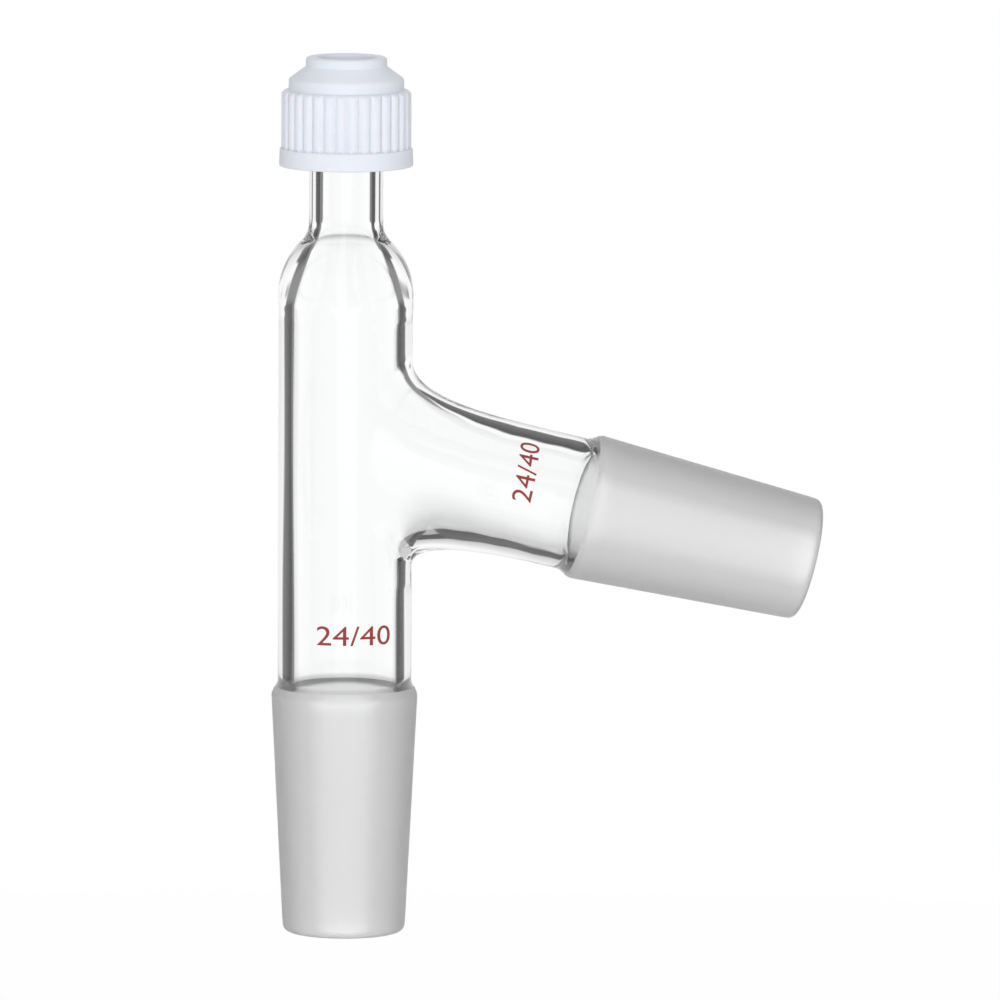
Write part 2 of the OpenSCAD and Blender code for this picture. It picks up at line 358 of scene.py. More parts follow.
# A joint's profile: where its cone starts over the rim and how much it gains there, where its bore
# starts to step in before the ground zone's end, and where that step ends past it, for the stem
# and for the arm.
CONE_START, CONE_GAIN = 0.0022, 0.0001
BORE_STEP_START = 0.002
STEM_BORE_STEP_END, ARM_BORE_STEP_END = 0.0012, 0.0019

# The swelling under the shoulder starts over the patch and ends under the shoulder's turn.
SWELL_START, SWELL_END = 0.0003, 0.0015

# The seal between arm and stem, outside and inside: how far its seam rises, where it leaves the
# arm over and under, and the lengths of its curves' handles at the arm over and under and at the
# seam over and under. The seam's middle is a little under the arm's axis.
SEAL_OUTSIDE = 0.0152, 0.029, 0.036, (0.0129, 0.0165, 0.0046, 0.0025)
SEAL_INSIDE = 0.0164, 0.031, 0.033, (0.0125, 0.014, 0.009, 0.0077)
SEAM_DROP = 0.0005
SEAL_ROWS, JOIN_ROWS = 34, 9

# Widths of the threads' ridges at their roots and crests.
GLASS_RIDGE = 0.0017, 0.0005
CAP_RIDGE = 0.0015, 0.0004

# Distances from a rim between which the bore's unevenness sets in.
UNEVEN_FROM = 0.001, 0.006


def joint_outside(s, zone):
    """A ground joint from the lowest ring of its rim: the rim's round, the 1:10 cone, which is
    zone long, and the round step to the tube."""
    small = s.joint_radius - s.joint_taper * zone / 2
    corner = small - s.rim_round
    return chain(
        [(small - s.joint_wall / 2, 0.0)],
        arc(corner, s.rim_round, s.rim_round, 270, 357, 7),
        straight((small + CONE_GAIN, CONE_START), (s.joint_radius, zone), 18),
        soft_step(s.joint_radius, zone, s.tube_radius, zone + s.joint_step, 12))


def joint_inside(s, zone, reach):
    """The bore of the same joint, from the same ring. Its step to the tube ends reach past the
    ground zone."""
    small = s.joint_radius - s.joint_taper * zone / 2 - s.joint_wall
    corner = small + s.rim_round
    big, bore = s.joint_radius - s.joint_wall, s.tube_radius - s.tube_wall
    step = zone - BORE_STEP_START
    return chain(
        [(small + s.joint_wall / 2, 0.0)],
        arc(corner, s.rim_round, s.rim_round, 270, 183, 7),
        straight((small + CONE_GAIN, CONE_START), (big, step), 18),
        soft_step(big, step, bore, zone + reach, 9))


def shoulder(radius, height, turn_radius, neck, turn):
    """A convex arc from the wall, then a concave one that ends upright at the neck's radius."""
    degrees = math.degrees(turn)
    middle = radius - turn_radius * (1 - math.cos(turn))
    back = (middle - neck) / (1 - math.cos(turn))
    end = height + (turn_radius + back) * math.sin(turn)
    return chain(arc(radius - turn_radius, height, turn_radius, 0, degrees, 18),
                 arc(neck + back, end, back, 180 + degrees, 180, 16))


def stem_parts(s, inside):
    """The stem's profile under, at and over the rows where the arm's seal sits."""
    if inside:
        radius = s.tube_radius - s.tube_wall
        neck = s.neck_radius - s.neck_wall
        low, swell = joint_inside(s, s.joint_length, STEM_BORE_STEP_END), radius
        turn = soft_step(radius, s.bore_turn_height, neck,
                         s.bore_turn_height + s.bore_turn_length, 36)
        rim = arc(neck + s.neck_rim_round, s.rim_height - s.neck_rim_round, s.neck_rim_round,
                  180, 90, 5)
    else:
        radius, neck = s.tube_radius, s.neck_radius
        low, swell = joint_outside(s, s.joint_length), s.swell_radius
        turn = shoulder(swell, s.shoulder_height, s.shoulder_radius, neck, s.shoulder_turn)
        rim = arc(neck - s.neck_rim_round, s.rim_height - s.neck_rim_round, s.neck_rim_round,
                  0, 90, 5)
    middle = (s.neck_radius - s.neck_wall / 2, s.rim_height)
    under = chain(low, straight((radius, low[-1, 1]), (radius, PATCH_LOW), 12))
    over = chain(
        [(radius, PATCH_HIGH)],
        soft_step(radius, PATCH_HIGH + SWELL_START, swell, turn[0, 1] - SWELL_END, 8),
        turn, straight((neck, turn[-1, 1]), (neck, rim[0, 1]), 130), rim, [middle])
    return under, over


def patch_loop():
    """Columns and heights round the edge of the patch, clockwise from the middle of its top, as
    (turn about the stem, height) pairs."""
    c, n = PATCH_COLUMNS, PATCH_ROWS
    top = [(k, n) for k in range(0, c)]
    right = [(c, k) for k in range(n, 0, -1)]
    foot = [(k, 0) for k in range(c, -c, -1)]
    left = [(-c, k) for k in range(0, n)]
    back = [(k, n) for k in range(-c, 0)]
    loop = np.array(top + right + foot + left + back, dtype=float)
    rise = (PATCH_HIGH - PATCH_LOW) / n
    return np.stack([loop[:, 0] * 2 * np.pi / COLUMNS, PATCH_LOW + loop[:, 1] * rise], axis=1)


def seam_of(s, rise, q):
    """The seam between arm and stem, as (turn about the stem, height), for angle q round the arm
    from its top. It reaches rise above its middle."""
    reach = np.where(np.cos(q) > 0, rise, s.seam_fall)
    middle = s.arm_height - SEAM_DROP
    return np.stack([s.seam_spread * np.sin(q), middle + reach * np.cos(q)], axis=1)


def on_stem(radius, place):
    """Points on the stem's cylinder at (turn, height) pairs."""
    turn, height = place[..., 0], place[..., 1]
    return np.stack([radius * np.cos(turn), radius * np.sin(turn), height], axis=-1)


def arm_axes(s):
    """The arm's direction and the direction to its upper side, which are at right angles."""
    c, d = math.cos(s.arm_drop), math.sin(s.arm_drop)
    return np.array([c, 0.0, -d]), np.array([d, 0.0, c])


def on_arm(s, distance, radius, q):
    """Points at a distance along the arm and a radius from its axis, at angle q from its top."""
    along, up = arm_axes(s)
    side = np.array([0.0, 1.0, 0.0])
    root = np.array([0.0, 0.0, s.arm_height])
    distance, radius, q = (np.asarray(v, dtype=float)[..., None] for v in (distance, radius, q))
    return root + distance * along + radius * (np.cos(q) * up + np.sin(q) * side)


def seal(s, radius, rise, reaches, q, start):
    """The flared seal: for each q a cubic Bezier from the seam, where it leaves along the stem's
    wall, to the arm's tube, where it arrives along the arm. Rows run from the seam. reaches are
    the lengths of its handles: at the arm over and under it, and at the seam over and under. The
    rows lie closer together towards the seam."""
    low = (1 - np.cos(q)) / 2
    along, _ = arm_axes(s)
    place = seam_of(s, rise, q)
    turn = place[:, 0]
    out = np.stack([-np.sin(turn) * np.sin(q), np.cos(turn) * np.sin(q), np.cos(q)], axis=1)
    out /= np.linalg.norm(out, axis=1)[:, None]
    arm_over, arm_under, seam_over, seam_under = reaches
    p3 = on_stem(radius, place)
    p2 = p3 - out * (seam_over + (seam_under - seam_over) * low)[:, None]
    p0 = on_arm(s, start, radius, q)
    p1 = p0 - along * (arm_over + (arm_under - arm_over) * low**2)[:, None]
    t = 1 - np.linspace(0.0, 1.0, SEAL_ROWS + 1)[:, None, None] ** 1.3
    return ((1 - t) ** 3 * p0 + 3 * (1 - t) ** 2 * t * p1 + 3 * (1 - t) * t**2 * p2 + t**3 * p3)


def add_wall(skin, s, inside):
    """One side of the whole glass wall: the stem with a hole for the arm, the patch round that
    hole, the seal and the arm."""
    radius = s.tube_radius - (s.tube_wall if inside else 0.0)
    tag, frosted = (INSIDE, CLEAR) if inside else (0, GROUND)
    under, over = stem_parts(s, inside)
    turn = np.arange(COLUMNS) * 2 * np.pi / COLUMNS
    skin.add(revolve(under, turn), tag=tag,
             finish=np.where(under[1:, 1] <= s.joint_length + s.frost_reach, frosted, CLEAR))
    neck_grid = revolve(over, turn)
    if not inside:
        ridge = helix_ridge(turn[None, :], over[:, 1:], s.rim_height - s.thread_drop,
                            s.thread_pitch, s.thread_turns, *GLASS_RIDGE)
        grown = 1 + ridge * (s.thread_radius - s.neck_radius) / over[:, :1]
        neck_grid[..., :2] *= grown[..., None]
    skin.add(neck_grid, tag=tag)
    kept = np.arange(PATCH_COLUMNS, COLUMNS - PATCH_COLUMNS + 1) * 2 * np.pi / COLUMNS
    rows = np.stack([np.full(PATCH_ROWS + 1, radius),
                     np.linspace(PATCH_LOW, PATCH_HIGH, PATCH_ROWS + 1)], axis=1)
    skin.add(revolve(rows, kept), closed_v=False, tag=tag)
    edge = patch_loop()
    middle = s.arm_height - SEAM_DROP
    rise, start_over, start_under, reaches = SEAL_INSIDE if inside else SEAL_OUTSIDE
    reach = np.where(edge[:, 1] > middle, rise, s.seam_fall)
    q = np.arctan2(edge[:, 0] / s.seam_spread, (edge[:, 1] - middle) / reach)
    w = np.linspace(0.0, 1.0, JOIN_ROWS)[:, None, None]
    skin.add(on_stem(radius, (1 - w) * edge + w * seam_of(s, rise, q)), tag=tag)
    start = start_over + (start_under - start_over) * ((1 - np.cos(q)) / 2) ** 3
    skin.add(seal(s, radius, rise, reaches, q, start), tag=tag)
    end = s.arm_joint + s.side_length
    if inside:
        joint = joint_inside(s, s.side_length, ARM_BORE_STEP_END)
    else:
        joint = joint_outside(s, s.side_length)
    meet = end - joint[-1, 1]
    w = np.linspace(0.0, 1.0, JOIN_ROWS)[:, None]
    skin.add(on_arm(s, (1 - w) * start + w * meet, radius, q + 0 * w), tag=tag)
    joint = joint[::-1]
    ground = joint[:-1, 1] <= s.side_length + s.side_frost
    skin.add(on_arm(s, end - joint[:, 1:] + 0 * q, joint[:, :1] + 0 * q, q + 0 * joint[:, :1]),
             tag=tag, finish=np.where(ground, frosted, CLEAR))


def waver(points, s):
    """A slow unevenness, as drawn tubing has: three sine waves of the place in millimetres, long
    along the stem. It fades out towards the three rims, by the distance to the plane of each."""
    x, y, z = points.T / 0.001
    size = s.waviness * (np.sin(0.55 * x + 0.08 * z + 1.0) + np.sin(0.7 * y - 0.05 * z + 2.0)
                         + 0.6 * np.sin(1.1 * x - 0.9 * y + 0.11 * z)) / 2
    along, _ = arm_axes(s)
    from_side = points @ along - s.arm_height * along[2] - s.arm_joint - s.side_length
    for gap in (points[:, 2], s.rim_height - points[:, 2], from_side):
        size = size * smooth(*UNEVEN_FROM, np.abs(gap))
    return size


def build_glass(s, materials):
    """The whole glass as one closed skin. Points of its inner side move along their normals, which
    are the sums of their faces' cross products, by the bore's unevenness."""
    skin = Skin()
    add_wall(skin, s, inside=False)
    add_wall(skin, s, inside=True)
    points, faces, finishes, tags = skin.joined()
    inner = tags == INSIDE
    normal = np.zeros_like(points)
    a, b, c = (points[faces[:, k]] for k in range(3))
    flat = np.cross(b - a, c - a)
    for k in range(4):
        np.add.at(normal, faces[:, k], flat)
    normal /= np.maximum(np.linalg.norm(normal, axis=1), 1e-12)[:, None]
    points[inner] += normal[inner] * waver(points[inner], s)[:, None]
    return make_piece("glass_head", points, faces, materials, finishes)


# The cap and the ring ---------------------------------------------------------------------------

# Columns over each rib, and the width in which the ribs' feet run into the cap.
RIB_COLUMNS = 12
RIB_FOOT = 0.00012


def rib_outline(c, turn):
    """Radius of a ring of round ribs: the far side of a circle whose centre is on the rib."""
    half = np.pi / c.ribs
    local = (turn + half) % (2 * half) - half
    centre = c.grip_radius - c.rib_radius
    inner = np.maximum(c.rib_radius**2 - (centre * np.sin(local)) ** 2, 0.0)
    return centre * np.cos(local) + np.sqrt(inner)


def cap_profile(c, s):
    """The cap's closed outline, from the foot of its cavity out, up, and back down inside. Beside
    it comes each row's kind: 1 where it carries ribs, 2 where it carries the thread, or 0."""
    foot, top = CAP_LOW.z, CAP_HIGH.z
    flange, grip, step = foot + c.flange_height, foot + c.grip_height, foot + c.step_height
    cone, seal_top = foot + c.cone_height, RING_HIGH.z
    seat = s.rim_height + c.seat_gap
    mouth, edge, inset, rib_top, fillet = 0.0006, 0.0003, 0.0004, 0.001, 0.0002
    step_top, step_sink, collar_top, hole_top = 0.0008, 0.0004, 0.0005, 0.0004
    bevel, seat_bevel, thread_foot = 0.0002, 0.0001, 0.0008
    outside = [
        arc(c.cavity_radius + mouth, foot + mouth, mouth, 180, 270, 4),
        arc(c.flange_radius - edge, foot + edge, edge, 270, 360, 4),
        arc(c.flange_radius - inset, flange - edge, edge, 0, 90, 4),
    ]
    ribs = [
        straight((c.grip_radius, flange), (c.grip_radius, grip - rib_top), 14),
        arc(c.grip_radius - rib_top, grip - rib_top, rib_top, 0, 90, 8),
    ]
    above = [
        arc(c.step_radius + fillet, grip + fillet, fillet, 240, 180, 3),
        arc(c.step_radius - step_top, step - step_sink, step_top, 0, 48, 6),
        arc(c.collar_radius + edge, cone + edge, edge, 228, 180, 4),
        arc(c.collar_radius - collar_top, top - collar_top, collar_top, 0, 90, 6),
        arc(c.hole_radius + hole_top, top - hole_top, hole_top, 90, 180, 5),
        [(c.hole_radius, seal_top + bevel)],
        [(c.hole_radius + bevel, seal_top)],
        [(c.seat_radius, seal_top)],
        [(c.seat_radius, seat + seat_bevel)],
        [(c.seat_radius + seat_bevel, seat)],
        [(c.cavity_radius - bevel, seat)],
    ]
    thread = [straight((c.cavity_radius, seat - bevel), (c.cavity_radius, foot + thread_foot), 70)]
    parts = [chain(*outside), chain(*ribs), chain(*above), chain(*thread)]
    outline = np.vstack(parts)
    kind = np.repeat([0, 1, 0, 2], [len(p) for p in parts])
    return outline, kind


def build_cap(c, s, material):
    """The cap as one closed skin. Ribs: the radius is the lower of the outline's and the ring of
    ribs. Thread: the cavity's radius less a helical ridge half a pitch over the glass's."""
    outline, kind = cap_profile(c, s)
    columns = c.ribs * RIB_COLUMNS
    turn = np.arange(columns) * 2 * np.pi / columns
    r = np.repeat(outline[:, :1], len(turn), axis=1)
    ribbed = soft_min(r, rib_outline(c, turn)[None, :], RIB_FOOT)
    r = np.where((kind == 1)[:, None], ribbed, r)
    start = s.rim_height - s.thread_drop + s.thread_pitch / 2
    ridge = helix_ridge(turn[None, :], outline[:, 1:], start, s.thread_pitch, s.thread_turns,
                        *CAP_RIDGE)
    r = np.where((kind == 2)[:, None], r - ridge * (c.cavity_radius - c.thread_crest), r)
    grid = np.stack([r * np.cos(turn), r * np.sin(turn), outline[:, 1:] + 0 * turn], axis=2)
    skin = Skin()
    skin.add(grid, closed_u=True)
    points, faces, finishes, _ = skin.joined()
    return make_piece("cap_moulding", points, faces, [material], finishes)


def build_ring(c, material):
    """The sealing ring: a block with rounded edges, turned about Z."""
    low, high, edge = RING_LOW.z, RING_HIGH.z, 0.0003
    outline = chain(
        arc(c.ring_bore + edge, low + edge, edge, 180, 270, 4),
        arc(c.ring_radius - edge, low + edge, edge, 270, 360, 4),
        arc(c.ring_radius - edge, high - edge, edge, 0, 90, 4),
        arc(c.ring_bore + edge, high - edge, edge, 90, 180, 4))
    skin = Skin()
    skin.add(revolve(outline, np.arange(COLUMNS) * 2 * np.pi / COLUMNS), closed_u=True)
    points, faces, finishes, _ = skin.joined()
    return make_piece("sealing_ring", points, faces, [material], finishes)


# The numerals -----------------------------------------------------------------------------------

# Upright strips that the numerals are cut into, and how far their middle is over the glass, as a
# share of the film.
STRIPS = 40
FILM_LIFT = 0.3


def mesh_points(mesh):
    """A mesh's points, one in a row."""
    points = np.empty(len(mesh.vertices) * 3)
    mesh.vertices.foreach_get("co", points)
    return points.reshape(-1, 3)


def numeral_mesh(m, width, height):
    """Flat numerals as a mesh, centred, of the given width and height, cut into strips so that
    they can follow a tube."""
    text = bpy.data.curves.new("numerals", "FONT")
    text.body = m.numerals
    text.extrude = 0.5
    text.resolution_u = 4
    lettering = bpy.data.objects.new("numerals", text)
    bpy.context.scene.collection.objects.link(lettering)
    shape = bpy.data.meshes.new_from_object(
        lettering.evaluated_get(bpy.context.evaluated_depsgraph_get()))
    bpy.data.objects.remove(lettering)
    work = bmesh.new()
    work.from_mesh(shape)
    bmesh.ops.remove_doubles(work, verts=work.verts, dist=1e-4)
    work.to_mesh(shape)
    across = mesh_points(shape)[:, 0]
    low, high = across.min(), across.max()
    for k in range(1, STRIPS):
        place = (low + (high - low) * k / STRIPS, 0.0, 0.0)
        bmesh.ops.bisect_plane(work, geom=work.verts[:] + work.edges[:] + work.faces[:],
                               plane_co=place, plane_no=(1.0, 0.0, 0.0))
    bmesh.ops.recalc_face_normals(work, faces=work.faces)
    work.to_mesh(shape)
    work.free()
    points = mesh_points(shape)
    low, high = points.min(axis=0), points.max(axis=0)
    points = (points - (low + high) / 2) / (high - low)
    return shape, points * (width, height, 1.0)


def lay_numerals(name, m, size, lean, radius, place, material):
    """Numerals turned in their plane by lean and wrapped on a tube. place turns (angle round the
    tube, distance along it, radius) into points. The film starts a little inside the glass's
    surface and stands proud of it."""
    shape, flat = numeral_mesh(m, *size)
    shape.name = name
    depth = radius + m.film * (flat[:, 2] + FILM_LIFT)
    x, y = flat[:, 0], flat[:, 1]
    c, d = math.cos(lean), math.sin(lean)
    points = place((c * x - d * y) / radius, d * x + c * y, depth)
    shape.vertices.foreach_set("co", points.reshape(-1))
    shape.materials.clear()
    shape.materials.append(material)
    shape.update()
    piece = bpy.data.objects.new(name, shape)
    bpy.context.scene.collection.objects.link(piece)
    return piece


# Materials --------------------------------------------------------------------------------------


class Field:
    """A number that varies over a surface. Arithmetic on it adds Math nodes to its recipe."""

    def __init__(self, recipe, socket):
        self.recipe, self.socket = recipe, socket

    def _math(self, operation, *values):
        """A Math node's result as a Field."""
        node = self.recipe.node("ShaderNodeMath", {"operation": operation}, *values)
        return Field(self.recipe, node.outputs[0])

    def __add__(self, other):
        return self._math("ADD", self, other)

    def __sub__(self, other):
        return self._math("SUBTRACT", self, other)

    def __rsub__(self, other):
        return self._math("SUBTRACT", other, self)

    def __mul__(self, other):
        return self._math("MULTIPLY", self, other)

    def __truediv__(self, other):
        return self._math("DIVIDE", self, other)

    def __abs__(self):
        return self._math("ABSOLUTE", self)

    def least(self, other):
        """The smaller of two values."""
        return self._math("MINIMUM", self, other)

    def most(self, other):
        """The larger of two values."""
        return self._math("MAXIMUM", self, other)

    def ease(self, low, high):
        """0 below low, 1 above high, and a smooth rise between them."""
        return self.recipe.field("ShaderNodeMapRange", {"interpolation_type": "SMOOTHSTEP"},
                                 "Result", Value=self, From_Min=low, From_Max=high)

    __radd__ = __add__
    __rmul__ = __mul__


class Recipe:
    """The node tree of one material or of the world."""

    def __init__(self, owner):
        owner.use_nodes = True
        self.tree = owner.node_tree
        self.tree.nodes.clear()

    def node(self, kind, settings=None, *values, **named):
        """One node: its settings are set first, then its inputs by order or by name."""
        made = self.tree.nodes.new(kind)
        for key, value in (settings or {}).items():
            setattr(made, key, value)
        inputs = list(enumerate(values)) + [(k.replace("_", " "), v) for k, v in named.items()]
        for key, value in inputs:
            if isinstance(value, Field):
                value = value.socket
            if isinstance(value, bpy.types.NodeSocket):
                self.tree.links.new(value, made.inputs[key])
            else:
                made.inputs[key].default_value = value
        return made

    def field(self, kind, settings, output, *values, **named):
        """A node's named output as a Field."""
        return Field(self, self.node(kind, settings, *values, **named).outputs[output])

    def place(self, stretch=(1.0, 1.0, 1.0)):
        """Object coordinates, stretched."""
        where = self.node("ShaderNodeTexCoord").outputs["Object"]
        return self.node("ShaderNodeMapping", None, Vector=where, Scale=stretch).outputs["Vector"]

    def noise(self, where, scale, detail=2.0, roughness=0.5):
        """A noise field from about 0 to 1."""
        return self.field("ShaderNodeTexNoise", {"noise_dimensions": "3D"}, "Fac",
                          Vector=where, Scale=scale, Detail=detail, Roughness=roughness)

    def along(self, vector, direction):
        """How far a vector reaches in a direction."""
        node = self.node("ShaderNodeVectorMath", {"operation": "DOT_PRODUCT"}, vector, direction)
        return Field(self, node.outputs["Value"])

    def blend(self, factor, low, high):
        """A colour between low and high."""
        mix = self.node("ShaderNodeMix", {"data_type": "RGBA"})
        colours = [k for k in mix.inputs if k.type == "RGBA"]
        colours[0].default_value = (*low, 1.0)
        colours[1].default_value = (*high, 1.0)
        self.tree.links.new(factor.socket, mix.inputs[0])
        return next(k for k in mix.outputs if k.type == "RGBA")

    def bump(self, height, strength, distance):
        """A bump's normal."""
        return self.node("ShaderNodeBump", None, Strength=strength, Distance=distance,
                         Height=height).outputs["Normal"]

    def principled(self, **sockets):
        """The main shader, with constants set on its own sockets."""
        return self.node("ShaderNodeBsdfPrincipled", None, **sockets)

    def surface(self, shader):
        """Sends a shader to the output."""
        kind = "World" if shader.type == "BACKGROUND" else "Material"
        self.node("ShaderNodeOutput" + kind, None, Surface=shader.outputs[0])


def shade(colour_value, factor):
    """A colour made lighter or darker."""
    return tuple(min(1.0, k * factor) for k in colour_value)


def clear_glass(looks):
    """Polished borosilicate."""
    material = bpy.data.materials.new("clear_glass")
    r = Recipe(material)
    streaks = r.noise(r.place(stretch=(300.0, 300.0, 12.0)), 1.0, 2.0)
    r.surface(r.principled(Base_Color=(*looks.glass, 1.0), Roughness=0.0, IOR=looks.glass_index,
                           Transmission_Weight=1.0, Normal=r.bump(streaks, 0.03, 0.0001)))
    return material


def ground_glass(looks):
    """A finely ground cone: satin, with faint turning marks. It lets light through where it is
    seen square on, and scatters it back where it is seen aslant, where it is also mixed towards a
    darker grey: painted shade for the darker sides that its surroundings would give it."""
    material = bpy.data.materials.new("ground_glass")
    r = Recipe(material)
    grain = r.noise(r.place(), 9000.0, 3.0, 0.6)
    cloud = r.noise(r.place(), 220.0, 3.0)
    mottle = cloud * 0.6 + grain * 0.4
    rough = looks.ground_roughness + (cloud - 0.5) * 0.12
    relief = r.bump(grain, 0.25, 0.00004)
    through = r.principled(
        Base_Color=r.blend(mottle, shade(looks.ground, 0.94), shade(looks.ground, 1.05)),
        Roughness=rough, IOR=looks.glass_index, Transmission_Weight=0.72, Normal=relief)
    # Painted shade: the darker grey shader for the ground glass seen aslant.
    aslant = r.principled(
        Base_Color=r.blend(mottle, shade(looks.ground_aslant_shade, 0.95), shade(looks.ground_aslant_shade, 1.05)),
        Roughness=rough, IOR=looks.glass_index, Transmission_Weight=0.2, Normal=relief)
    # Where the painted shade lies: darkest in a band towards the sides, and a little lighter again
    # at the very edge.
    facing = r.field("ShaderNodeLayerWeight", None, "Facing", Blend=0.5)
    turned = facing.ease(0.04, 0.17) * (1.0 - 0.75 * facing.ease(0.2, 0.75))
    r.surface(r.node("ShaderNodeMixShader", None, turned, through.outputs[0], aslant.outputs[0]))
    return material


def moulded_cap(looks):
    """Satin moulded plastic, a little translucent."""
    material = bpy.data.materials.new("cap_plastic")
    r = Recipe(material)
    cloud = r.noise(r.place(), 160.0, 3.0)
    pores = r.noise(r.place(), 5200.0, 2.0, 0.6)
    tone = r.blend(cloud, shade(looks.cap, 0.96), shade(looks.cap, 1.04))
    rough = looks.cap_roughness + (pores - 0.5) * 0.14
    r.surface(r.principled(Base_Color=tone, Roughness=rough, IOR=1.49, Specular_IOR_Level=0.3,
                           Subsurface_Weight=0.2, Subsurface_Scale=0.0012,
                           Normal=r.bump(pores, 0.12, 0.00003)))
    return material


def ring_rubber(looks):
    """Pale silicone rubber."""
    material = bpy.data.materials.new("ring_rubber")
    r = Recipe(material)
    bloom = r.noise(r.place(), 700.0, 3.0)
    tone = r.blend(bloom, shade(looks.ring, 0.94), shade(looks.ring, 1.04))
    r.surface(r.principled(Base_Color=tone, Roughness=0.5 + (bloom - 0.5) * 0.2, IOR=1.41,
                           Normal=r.bump(bloom, 0.1, 0.00003)))
    return material


def fired_red(looks):
    """Fired enamel, slightly uneven."""
    material = bpy.data.materials.new("fired_red")
    r = Recipe(material)
    grain = r.noise(r.place(), 2600.0, 3.0, 0.6)
    tone = r.blend(grain, shade(looks.marks, 0.85), shade(looks.marks, 1.15))
    r.surface(r.principled(Base_Color=tone, Roughness=0.45 + (grain - 0.5) * 0.2,
                           Normal=r.bump(grain, 0.2, 0.00002)))
    return material


# Operators --------------------------------------------------------------------------------------


class STILLHEAD_OT_glass(Operator):
    """Build the blown glass with its two ground joints"""

    bl_idname = "stillhead.glass"
    bl_label = "Glass"

    def execute(self, context):
        scene = context.scene
        looks = scene.head_looks
        piece = build_glass(scene.head_glass, [clear_glass(looks), ground_glass(looks)])
        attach(piece, "glass")
        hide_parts("glass_body")
        return {"FINISHED"}


class STILLHEAD_OT_numerals(Operator):
    """Fire plain red numerals on the stem and on the arm"""

    bl_idname = "stillhead.numerals"
    bl_label = "Numerals"

    def execute(self, context):
        scene = context.scene
        s, m = scene.head_glass, scene.head_marks
        red = fired_red(scene.head_looks)
        middle = m.stem_facing - math.pi / 2

        def on_the_stem(turn, along, radius):
            """Round the stem by turn from the line's middle, and up it by along."""
            return on_stem(radius, np.stack([middle + turn, m.stem_height + along], axis=1))

        def on_the_arm(turn, along, radius):
            """Round the arm by turn from the line's middle, and back along it."""
            return on_arm(s, m.arm_place - along, radius, 1.5 * np.pi + m.arm_rise + turn)

        for name, size, lean, place in (
                ("stem_numerals", (m.stem_width, m.stem_tall), 0.0, on_the_stem),
                ("arm_numerals", (m.arm_width, m.arm_tall), m.arm_lean, on_the_arm)):
            piece = lay_numerals(name, m, size, lean, s.tube_radius, place, red)
            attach(piece, "glass")
        return {"FINISHED"}


class STILLHEAD_OT_cap(Operator):
    """Build the ribbed screw cap"""

    bl_idname = "stillhead.cap"
    bl_label = "Screw cap"

    def execute(self, context):
        scene = context.scene
        piece = build_cap(scene.head_cap, scene.head_glass, moulded_cap(scene.head_looks))
        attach(piece, "cap")
        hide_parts("screw_cap")
        return {"FINISHED"}


class STILLHEAD_OT_ring(Operator):
    """Build the ring that the cap squeezes"""

    bl_idname = "stillhead.ring"
    bl_label = "Sealing ring"

    def execute(self, context):
        scene = context.scene
        piece = build_ring(scene.head_cap, ring_rubber(scene.head_looks))
        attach(piece, "ring")
        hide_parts("seal_ring")
        return {"FINISHED"}


class STILLHEAD_OT_stage(Operator):
    """Set up the floor, the lamps, the surround and the camera"""

    bl_idname = "stillhead.stage"
    bl_label = "Stage"

    def execute(self, context):
        scene = context.scene
        g = scene.head_stage
        scene.view_settings.view_transform = "Standard"
        # A ray may cross and leave the two walls of both tubes many times.
        scene.cycles.max_bounces = 32
        scene.cycles.transmission_bounces = 32
        scene.cycles.glossy_bounces = 16
        set_surround(scene, g)
        set_floor(g)
        for name, place, watts in LAMPS:
            set_lamp(name, place, watts)
        set_camera(scene, g)
        return {"FINISHED"}


# The lamps: name, place and watts. All have one size, and face the middle of the object.
LAMPS = (
    ("key_lamp", (-0.24, -1.64, 0.4), 17.5),
    ("fill_lamp", (1.3, -0.9, 0.5), 0.4),
    ("back_lamp", (0.25, 1.5, 0.6), 9.0),
)
LAMP_SIZE = 0.9
MIDDLE = (0.02, 0.0, 0.075)

# The floor glows for every ray, more for those that see it. Its white is that of the direction to
# it from a point in the glass.
FLOOR_GLOW, SEEN_GLOW = 0.35, 0.6
FLOOR_SEEN_FROM = (0.03, 0.0, 0.065)

# Smooth steps in what glass shows, each with its low and high end. The first two are counts of a
# ray's passes and throws, and the others parts of its direction, whose length is 1.
ONE_WALL = 2.2, 2.8
TANGLED = 2.3, 3.3
STRAIGHT_ON = 0.1, 0.75
DUSK = -0.5, -0.2

# The panels are wider for rays that rise, and for those that go to the right.
WIDER_RISE, WIDER_RISING = (-0.08, 0.05), 0.22
WIDER_RIGHT, WIDER_ASIDE = (0.0, 0.3), 0.14
PANEL_BLUR, PANEL_END_BLUR = 0.08, 0.04
PANEL_TOP_LEAN = 0.25

# Over the panels are two openings: one in the middle, between two directions across, and one high
# up at the sides, where a sum of rise and side is large.
GAP_LEFT, GAP_RIGHT = (-0.3, -0.25), (0.03, 0.08)
CORNER_LEAN, CORNER_SUM, CORNER_RISE = 1.3, (0.97, 1.1), (0.34, 0.42)

# Under the panels is a flag between two rises, and only near the middle.
FLAG_FOOT, FLAG_SIDE = (-0.9, -0.86), (0.3, 0.5)

# The flags grow paler high up and far to the side, and no panel is darker than the last level.
PALE_RISE, PALE_ASIDE = (0.0, 0.3), (1.1, 1.4)
PANEL_DARKEST = 0.4


